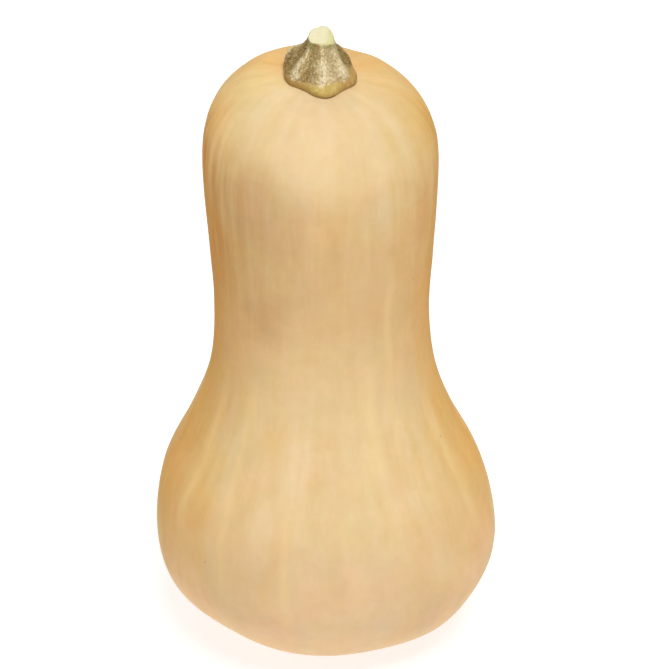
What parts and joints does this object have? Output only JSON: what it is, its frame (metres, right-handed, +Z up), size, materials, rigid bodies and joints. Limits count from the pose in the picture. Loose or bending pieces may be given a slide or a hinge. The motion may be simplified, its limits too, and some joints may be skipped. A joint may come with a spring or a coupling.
{
  "type": "butternut squash",
  "caption": "Whole butternut squash standing on its blossom end: pale tan bulb and long neck with a dried, ridged stem.",
  "frame": {"origin": "centre of the bounding box, on the plane that the squash stands on", "axes": "+Z up, from the blossom end to the stem; -Y is the front; +X is to the right seen from the front"},
  "size_m": [0.1336, 0.1336, 0.2571],
  "materials": {
    "skin": "smooth, nearly matt, waxy tan rind with faint lengthwise streaks and pinkish tan mottling",
    "stem": "dry corky olive brown stem with pale ridges and a cream cut end"
  },
  "bodies": {
    "root": {"fruit": "skin", "stem": "stem"}
  },
  "joints": []
}
